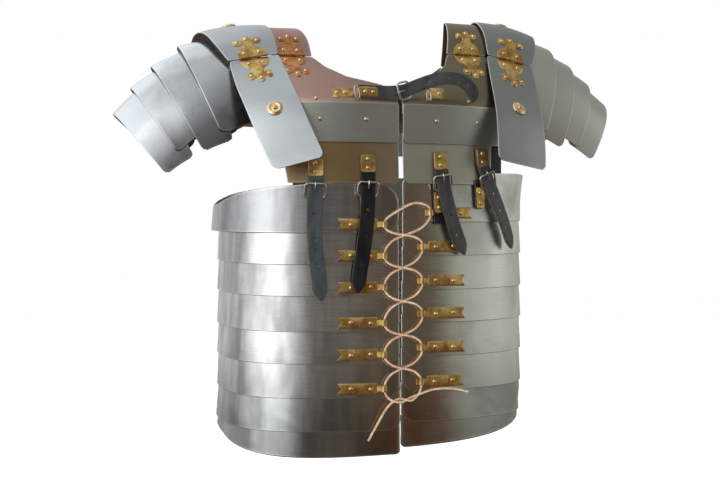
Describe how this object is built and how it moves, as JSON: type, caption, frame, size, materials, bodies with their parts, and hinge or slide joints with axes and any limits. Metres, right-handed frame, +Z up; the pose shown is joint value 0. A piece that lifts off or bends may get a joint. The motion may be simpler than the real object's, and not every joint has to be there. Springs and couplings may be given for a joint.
{
  "type": "lorica segmentata with no wearer",
  "caption": "Roman laminated plate armour for the torso: laced girdle hoops, breast and back plates, hinged shoulder guards and lesser shoulder plates, filled out as if worn, with no wearer.",
  "frame": {"origin": "midway between the two collar tops, where the wearer's shoulders carry the armour", "axes": "+Z up; -Y to the wearer's front; +X to the wearer's left"},
  "size_m": [0.6216, 0.2883, 0.5176],
  "materials": {
    "steel": "brushed, with brass fittings riveted on",
    "brass": "aged brass sheet and rivets",
    "black_leather": "waxed black",
    "nickel": "nickel plated",
    "lace_leather": "raw tan thong"
  },
  "bodies": {
    "armour": {"back_band_left": "steel", "back_band_right": "steel", "back_collar_left": "steel", "back_collar_right": "steel", "back_low_left": "steel", "back_low_right": "steel", "back_strap_left": "black_leather", "back_strap_right": "black_leather", "buckle_back_strap_left": "nickel", "buckle_back_strap_right": "nickel", "buckle_strap_1": "nickel", "buckle_strap_2": "nickel", "buckle_strap_3": "nickel", "buckle_strap_4": "nickel", "chest_band_left": "steel", "chest_band_right": "steel", "chest_collar_left": "steel", "chest_collar_right": "steel", "chest_low_left": "steel", "chest_low_right": "steel", "collar_top_left": "steel", "collar_top_right": "steel", "guard_top_left": "steel", "guard_top_right": "steel", "hoop_left_1": "steel", "hoop_left_2": "steel", "hoop_left_3": "steel", "hoop_left_4": "steel", "hoop_left_5": "steel", "hoop_left_6": "steel", "hoop_left_7": "steel", "hoop_left_8": "steel", "hoop_right_1": "steel", "hoop_right_2": "steel", "hoop_right_3": "steel", "hoop_right_4": "steel", "hoop_right_5": "steel", "hoop_right_6": "steel", "hoop_right_7": "steel", "hoop_right_8": "steel", "lace_back": "lace_leather", "lace_front": "lace_leather", "lame_a_left": "steel", "lame_a_right": "steel", "lame_b_left": "steel", "lame_b_right": "steel", "lame_c_left": "steel", "lame_c_right": "steel", "lame_d_left": "steel", "lame_d_right": "steel", "neck_buckle": "nickel", "neck_strap": "black_leather", "strap_1": "black_leather", "strap_2": "black_leather", "strap_3": "black_leather", "strap_4": "black_leather"},
    "guard_front_right": {"guard_front_right": "steel"},
    "guard_back_right": {"guard_back_right": "steel"},
    "guard_front_left": {"guard_front_left": "steel"},
    "guard_back_left": {"guard_back_left": "steel"}
  },
  "joints": [
    {"name": "guard_front_right_hinge", "type": "hinge", "parent": "armour", "child": "guard_front_right", "pos_m": [-0.15533, -0.06264, -0.03978], "axis": [-0.9836, 0, -0.1804], "range_deg": [0, 45]},
    {"name": "guard_back_right_hinge", "type": "hinge", "parent": "armour", "child": "guard_back_right", "pos_m": [-0.17936, 0.07264, -0.03979], "axis": [0.9804, 0, 0.1968], "range_deg": [0, 45]},
    {"name": "guard_front_left_hinge", "type": "hinge", "parent": "armour", "child": "guard_front_left", "pos_m": [0.16438, -0.06264, -0.03116], "axis": [-0.978, 0, 0.2084], "range_deg": [0, 45]},
    {"name": "guard_back_left_hinge", "type": "hinge", "parent": "armour", "child": "guard_back_left", "pos_m": [0.18841, 0.07264, -0.03118], "axis": [0.9739, 0, -0.2271], "range_deg": [0, 45]}
  ]
}
